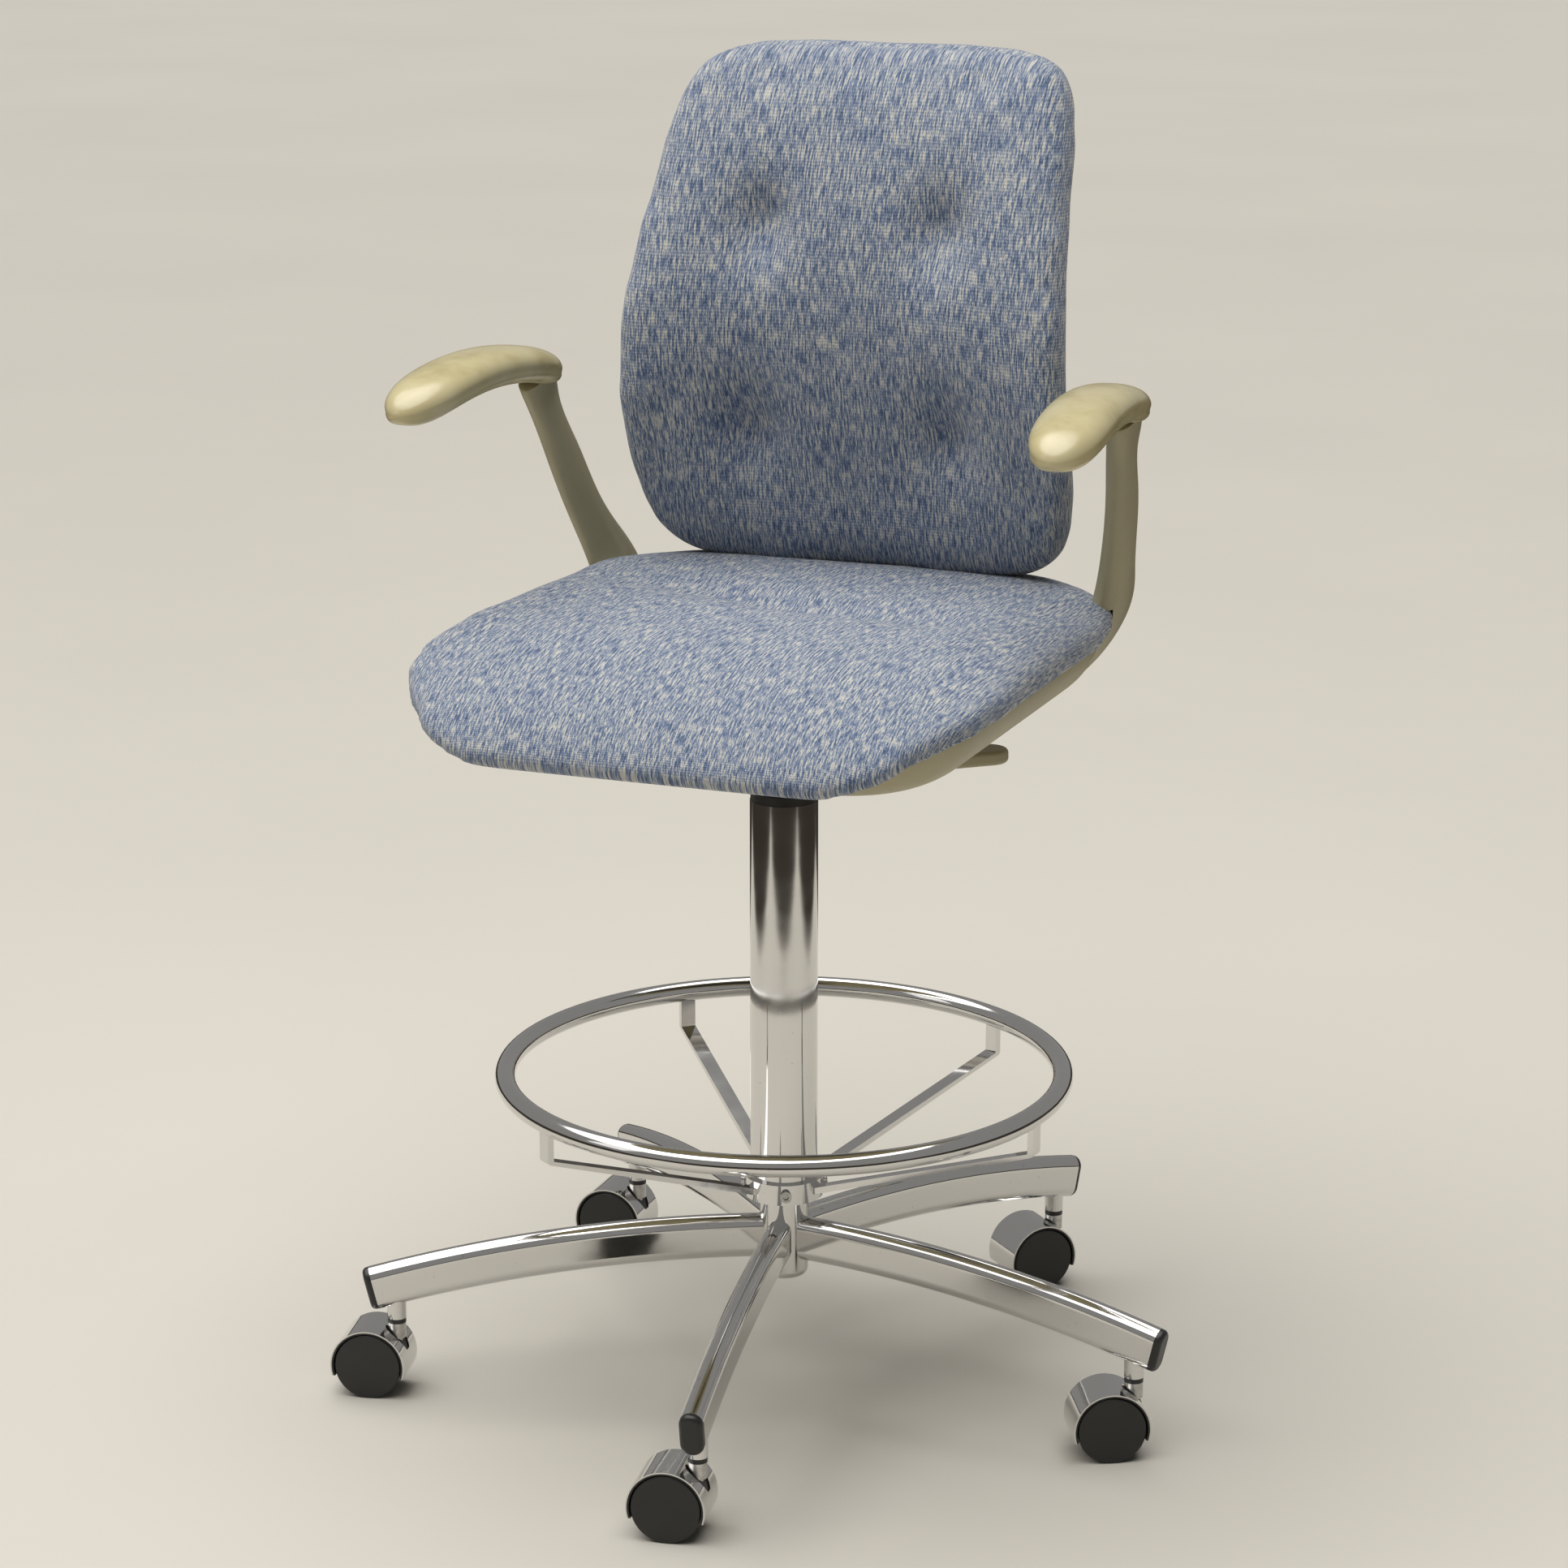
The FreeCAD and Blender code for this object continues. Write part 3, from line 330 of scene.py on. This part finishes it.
def stage_paper_and_painted_shade():
    """Studio paper, faintly mottled; past its edges polished metal sees painted shade: the floor turns
    dark for reflections only, standing for the darker room.
    """
    made, tree, shader = material("stage_paper_and_painted_shade")
    where = object_coordinates(tree)
    tone = noise(tree, where, 1.1, 3.0, 0.5)
    darker = tuple(c * 0.965 for c in STAGE)
    join(tree, ramp(tree, tone, ((0.3, darker), (0.7, STAGE))), shader.inputs["Base Color"])
    shader.inputs["Roughness"].default_value = 0.75
    shader.inputs["Specular IOR Level"].default_value = 0.2
    forward = (math.sin(VIEW_AZIMUTH), -math.cos(VIEW_AZIMUTH), 0)
    across = (math.cos(VIEW_AZIMUTH), math.sin(VIEW_AZIMUTH), 0)
    off_paper = math_node(tree, "MAXIMUM", past_edge(tree, where, forward, PAPER_FRONT),
                          past_edge(tree, where, across, PAPER_HALF_W))
    # for glossy rays past the paper's edges the floor becomes a dark diffuse: painted shade of the unlit
    # room, seen only in reflections on polished metal
    mirrored = node(tree, "ShaderNodeLightPath").outputs["Is Glossy Ray"]
    room = node(tree, "ShaderNodeBsdfDiffuse")
    room.inputs["Color"].default_value = (*PAINTED_ROOM_SHADE, 1.0)
    either = node(tree, "ShaderNodeMixShader")
    join(tree, math_node(tree, "MULTIPLY", off_paper, mirrored), either.inputs[0])
    join(tree, shader.outputs["BSDF"], either.inputs[1])
    join(tree, room.outputs["BSDF"], either.inputs[2])
    join(tree, either.outputs["Shader"], tree.nodes["Material Output"].inputs["Surface"])
    return made


def slot_materials():
    """One material for each slot of the record."""
    khaki_worn = tuple(c * 0.86 for c in KHAKI)
    return {
        "chrome": chrome(),
        "steel": steel(),
        "blue_fabric": melange_fabric(),
        "beige_plastic": moulding("khaki_moulding", KHAKI, khaki_worn, 0.36, 0.56, 900.0, 0.00003),
        "cream_plastic": pad_plastic(),
        "black_nylon": moulding("black_nylon", NYLON, NYLON_WORN, 0.24, 0.48, 700.0, 0.00003),
        "black_paint": moulding("black_enamel", ENAMEL, ENAMEL_WORN, 0.30, 0.50, 300.0, 0.00005, 0.2),
    }


def dress_cad_nodes(materials):
    """Gives each CAD node the material of its slot."""
    for row in frame["record"]["subparts"]:
        piece = NODES[row["node"]]
        if not piece.material_slots:
            piece.data.materials.append(None)
        for place in piece.material_slots:
            place.material = materials[row["material_slot"]]


# ---- mesh helpers ----

def piece_from(name, vertices, faces):
    mesh = bpy.data.meshes.new(name)
    mesh.from_pydata([tuple(v) for v in vertices], [], faces)
    mesh.update()
    made = bpy.data.objects.new(name, mesh)
    bpy.context.scene.collection.objects.link(made)
    return made


def smooth_shaded(piece):
    piece.data.polygons.foreach_set("use_smooth", [True] * len(piece.data.polygons))


def points_of(piece):
    co = np.empty(len(piece.data.vertices) * 3)
    piece.data.vertices.foreach_get("co", co)
    return co.reshape(-1, 3)


def normals_of(piece):
    out = np.empty(len(piece.data.vertices) * 3)
    piece.data.vertices.foreach_get("normal", out)
    return out.reshape(-1, 3)


def set_points(piece, co):
    piece.data.vertices.foreach_set("co", co.ravel())
    piece.data.update()


def apply_modifiers(piece):
    """Puts the piece's evaluated mesh in place of its own and drops its modifiers."""
    graph = bpy.context.evaluated_depsgraph_get()
    graph.update()
    mesh = bpy.data.meshes.new_from_object(piece.evaluated_get(graph))
    piece.modifiers.clear()
    old = piece.data
    piece.data = mesh
    bpy.data.meshes.remove(old)


def round_over(piece, steps):
    """Smooths the piece's edges and wrinkles away."""
    rounder = piece.modifiers.new("round", "SMOOTH")
    rounder.factor = 0.5
    rounder.iterations = steps
    apply_modifiers(piece)


def soft_copy(cad_node, name):
    """A closed, evenly meshed copy of a CAD solid with its edges rounded over."""
    mesh = NODES[cad_node].data.copy()
    made = bpy.data.objects.new(name, mesh)
    bpy.context.scene.collection.objects.link(made)
    welder = bmesh.new()
    welder.from_mesh(mesh)
    bmesh.ops.remove_doubles(welder, verts=welder.verts, dist=1e-6)
    welder.to_mesh(mesh)
    welder.free()
    remesh = made.modifiers.new("remesh", "REMESH")
    remesh.mode = "VOXEL"
    remesh.voxel_size = VOXEL
    round_over(made, FIRST_ROUNDING)
    made.data.materials.clear()
    return made


def puff_up(piece, held, swell):
    """Inflates the cover over its foam with a short cloth simulation. held is a mask of points."""
    rest = points_of(piece)
    group = piece.vertex_groups.new(name="held")
    group.add([int(k) for k in np.flatnonzero(held)], 1.0, "REPLACE")
    cloth = piece.modifiers.new("cloth", "CLOTH")
    settings = cloth.settings
    settings.quality = 5
    settings.use_pressure = True
    settings.uniform_pressure_force = PRESSURE
    settings.effector_weights.gravity = 0.0
    settings.vertex_group_mass = "held"
    settings.tension_stiffness = 25.0
    settings.compression_stiffness = 25.0
    settings.bending_stiffness = 2.0
    cloth.collision_settings.use_collision = False
    cloth.point_cache.frame_start = 1
    cloth.point_cache.frame_end = SIM_FRAMES
    for number in range(1, SIM_FRAMES + 1):
        bpy.context.scene.frame_set(number)
    apply_modifiers(piece)
    move = points_of(piece) - rest
    length = np.linalg.norm(move, axis=1, keepdims=True)
    share = swell * np.tanh(length / swell) / np.maximum(length, 1e-9)
    set_points(piece, rest + move * share)
    piece.vertex_groups.clear()


def subdivide(piece):
    finer = piece.modifiers.new("finer", "SUBSURF")
    finer.levels = 1
    finer.render_levels = 1


def lay_weave(piece, across, along):
    """Stores where each point lies on the cloth: across and along the warp, in metres."""
    store = piece.data.attributes.new("weave", "FLOAT_VECTOR", "POINT")
    values = np.column_stack([across, along, np.zeros(len(across))])
    store.data.foreach_set("vector", values.ravel())


def finish_piece(piece, body, slot, materials, *replaced):
    piece.data.materials.append(materials[slot])
    smooth_shaded(piece)
    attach(piece, body)
    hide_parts(*replaced)


# ---- soft pieces ----

def make_seat_cushion(materials):
    low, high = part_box("seat_cushion")
    piece = soft_copy("seat_cushion", "seat_cushion_cover")
    facing = normals_of(piece)
    puff_up(piece, facing[:, 2] < -0.3, SEAT_SWELL)
    round_over(piece, SEAT_ROUNDING)
    co = points_of(piece)
    facing = normals_of(piece)
    co += facing * SEAT_OUT
    # the rolled front, the cover drawn down over the shell, and the raised rear edge
    forward = np.clip((NOSE_FROM - co[:, 1]) / (NOSE_FROM - low.y), 0, 1)
    upper = np.clip((co[:, 2] - low.z) / (high.z - low.z), 0, 1)
    co[:, 2] -= NOSE_ROLL * forward ** 3 * upper
    co[:, 2] -= LIP_DROP * np.clip(forward * LIP_REACH, 0, 1) * (1 - upper) ** 1.5
    rearward = np.clip((co[:, 1] - REAR_FROM) / (high.y - REAR_FROM), 0, 1)
    co[:, 2] += REAR_RISE * rearward ** 1.5
    set_points(piece, co)
    facing = normals_of(piece)
    # a shallow crease across the seat, a little behind its middle, slanting with use
    crease_y = CREASE_Y + CREASE_SLANT * co[:, 0]
    across = np.exp(-((co[:, 1] - crease_y) / CREASE_WIDTH) ** 2)
    reach = np.clip(1.15 - np.abs(co[:, 0]) / CREASE_HALF_L, 0, 1)
    on_top = np.clip(facing[:, 2] * 2 - 1, 0, 1)
    co[:, 2] -= CREASE_DEPTH * across * reach * on_top
    set_points(piece, co)
    over_front = np.clip((NOSE_FROM - co[:, 1]) / FRONT_TURN, 0, 1)
    over_side = np.clip((np.abs(co[:, 0]) - high.x + SIDE_INSET) / SIDE_TURN, 0, 1)
    drop = high.z - co[:, 2]
    lay_weave(piece, co[:, 0] + np.sign(co[:, 0]) * over_side * drop, co[:, 1] - over_front * drop)
    subdivide(piece)
    finish_piece(piece, "seat", "blue_fabric", materials, "seat_cushion")


def make_back_cushion(materials):
    piece = soft_copy("back_cushion", "back_cushion_cover")
    facing = normals_of(piece)
    puff_up(piece, facing[:, 1] > 0.3, BACK_SWELL)
    round_over(piece, BACK_ROUNDING)
    co = points_of(piece)
    facing = normals_of(piece)
    co += facing * BACK_OUT * (1 - np.clip(facing[:, 1:2] * 2, 0, 1))
    on_front = np.clip(-facing[:, 1] * 2, 0, 1)
    for height, out in TUFT_ROWS:
        for side in (-1, 1):
            dx = (co[:, 0] - side * out) / TUFT_HALF_W
            dz = (co[:, 2] - height) / TUFT_HALF_H
            pull = np.exp(-(dx * dx + dz * dz) ** 0.85)
            co[:, 1] += TUFT_DEPTH * pull * on_front
    set_points(piece, co)
    facing = normals_of(piece)
    over_side = np.clip((np.abs(facing[:, 0]) - 0.55) / 0.3, 0, 1)
    over_top = np.clip((facing[:, 2] - 0.6) / 0.3, 0, 1)
    heights, fronts, wraps = zip(*BACK_FRONT)
    front = np.interp(co[:, 2], heights, fronts)
    wrap = np.interp(co[:, 2], heights, wraps) * (co[:, 0] / BACK_CHORD) ** 2
    depth = np.maximum(co[:, 1] - front + wrap - EDGE_ROLL, 0)
    lay_weave(piece, co[:, 0] + np.sign(co[:, 0]) * over_side * depth, co[:, 2] + over_top * depth)
    subdivide(piece)
    finish_piece(piece, "backrest", "blue_fabric", materials, "back_cushion")


def pad_section():
    """The pad's section as (across, up): a full crown, a seam groove and a flatter base."""
    half = PAD_WIDTH / 2
    out = []
    for k in range(PAD_POINTS):
        a = 2 * math.pi * k / PAD_POINTS
        c, s = math.cos(a), math.sin(a)
        if s >= 0:
            out.append((math.copysign(abs(c) ** 0.85, c) * half, s ** 0.95 * PAD_UP))
        else:
            out.append((math.copysign(abs(c) ** 0.6, c) * half * 0.985, -(-s) ** 0.7 * PAD_DOWN))
    for k in (PAD_POINTS - 1, PAD_POINTS // 2 + 1):
        out[k] = (out[k][0] - math.copysign(PAD_SEAM, out[k][0]), out[k][1])
    return out


def make_arm_pad(name, cad_node, side, materials):
    """An arched pad with round ends, splayed towards its front."""
    low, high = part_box(cad_node)
    length = high.y - low.y
    middle = Vector(((low.x + high.x) / 2, (low.y + high.y) / 2, high.z - PAD_UP + 0.001))
    forward = Vector((side * math.sin(PAD_SPLAY), -math.cos(PAD_SPLAY), 0))
    sideways = Vector((math.cos(PAD_SPLAY), side * math.sin(PAD_SPLAY), 0))
    section = pad_section()
    vertices = []
    for n in range(PAD_RINGS):
        t = math.sin((n / (PAD_RINGS - 1) - 0.5) * math.pi) * 0.9995
        size = (1 - abs(t) ** 5) ** 0.5
        thick = (1 - abs(t) ** 9) ** 0.5
        spine = middle + forward * (length / 2 * t) - Vector((0, 0, PAD_ARCH * t * t))
        for across, up in section:
            vertices.append(spine + sideways * (across * size) + Vector((0, 0, up * thick)))
    count = len(section)
    faces = []
    for n in range(PAD_RINGS - 1):
        for k in range(count):
            a, b = n * count + k, n * count + (k + 1) % count
            faces.append((a, b, b + count, a + count))
    faces.append(tuple(range(count))[::-1])
    faces.append(tuple(range((PAD_RINGS - 1) * count, PAD_RINGS * count)))
    piece = piece_from(name, vertices, faces)
    shell = bmesh.new()
    shell.from_mesh(piece.data)
    bmesh.ops.recalc_face_normals(shell, faces=shell.faces)
    shell.to_mesh(piece.data)
    shell.free()
    subdivide(piece)
    finish_piece(piece, "seat", "cream_plastic", materials, cad_node)


# ---- stage, lights and camera ----

def make_stage():
    """A wide pale floor."""
    floor = piece_from("studio_floor", [
        (-FLOOR_HALF, -FLOOR_HALF, 0), (FLOOR_HALF, -FLOOR_HALF, 0),
        (FLOOR_HALF, FLOOR_HALF, 0), (-FLOOR_HALF, FLOOR_HALF, 0),
    ], [(0, 1, 2, 3)])
    floor.data.materials.append(stage_paper_and_painted_shade())


def area_light(name, at, aim, size_x, size_y, power, colour):
    data = bpy.data.lights.new(name, "AREA")
    data.shape = "RECTANGLE"
    data.size = size_x
    data.size_y = size_y
    data.energy = power
    data.color = colour
    lamp = bpy.data.objects.new(name, data)
    lamp.location = at
    lamp.rotation_euler = (Vector(aim) - Vector(at)).to_track_quat("-Z", "Y").to_euler()
    bpy.context.scene.collection.objects.link(lamp)


def make_lights():
    """A pale surround, dimmer as a light than it looks, an even soft sky and two soft boxes."""
    world = bpy.data.worlds.new("studio")
    world.use_nodes = True
    tree = world.node_tree
    room = tree.nodes["Background"]
    room.inputs["Color"].default_value = (*LIGHT, 1.0)
    strength = spread(tree, node(tree, "ShaderNodeLightPath").outputs["Is Glossy Ray"],
                      FILL_STRENGTH, MIRROR_STRENGTH)
    join(tree, strength, room.inputs["Strength"])
    seen = node(tree, "ShaderNodeBackground", None, Strength=1.0)
    seen.inputs["Color"].default_value = (*SURROUND, 1.0)
    path = node(tree, "ShaderNodeLightPath")
    either = node(tree, "ShaderNodeMixShader")
    join(tree, path.outputs["Is Camera Ray"], either.inputs[0])
    join(tree, room.outputs["Background"], either.inputs[1])
    join(tree, seen.outputs["Background"], either.inputs[2])
    join(tree, either.outputs["Shader"], tree.nodes["World Output"].inputs["Surface"])
    bpy.context.scene.world = world
    sky = bpy.data.lights.new("soft_sky", "SUN")
    sky.energy = SKY_STRENGTH
    sky.angle = SKY_SPREAD
    sky.color = LIGHT
    lamp = bpy.data.objects.new("soft_sky", sky)
    lamp.rotation_euler = SKY_TILT
    bpy.context.scene.collection.objects.link(lamp)
    for name, at, aim, size_x, size_y, power in SOFT_BOXES:
        area_light(name, at, aim, size_x, size_y, power, LIGHT)


def make_camera():
    data = bpy.data.cameras.new("camera")
    data.sensor_width = 36.0
    data.lens = VIEW_LENS
    camera = bpy.data.objects.new("camera", data)
    camera.location = (
        VIEW_DISTANCE * math.sin(VIEW_AZIMUTH),
        -VIEW_DISTANCE * math.cos(VIEW_AZIMUTH),
        VIEW_HEIGHT,
    )
    camera.rotation_euler = (math.pi / 2 - VIEW_PITCH, 0, VIEW_AZIMUTH)
    bpy.context.scene.collection.objects.link(camera)
    bpy.context.scene.camera = camera


def main():
    bpy.context.scene.view_settings.view_transform = "Standard"
    make_camera()
    make_stage()
    make_lights()
    materials = slot_materials()
    dress_cad_nodes(materials)
    make_seat_cushion(materials)
    make_back_cushion(materials)
    make_arm_pad("arm_pad_right_skin", "arm_pad_right", 1, materials)
    make_arm_pad("arm_pad_left_skin", "arm_pad_left", -1, materials)


main()
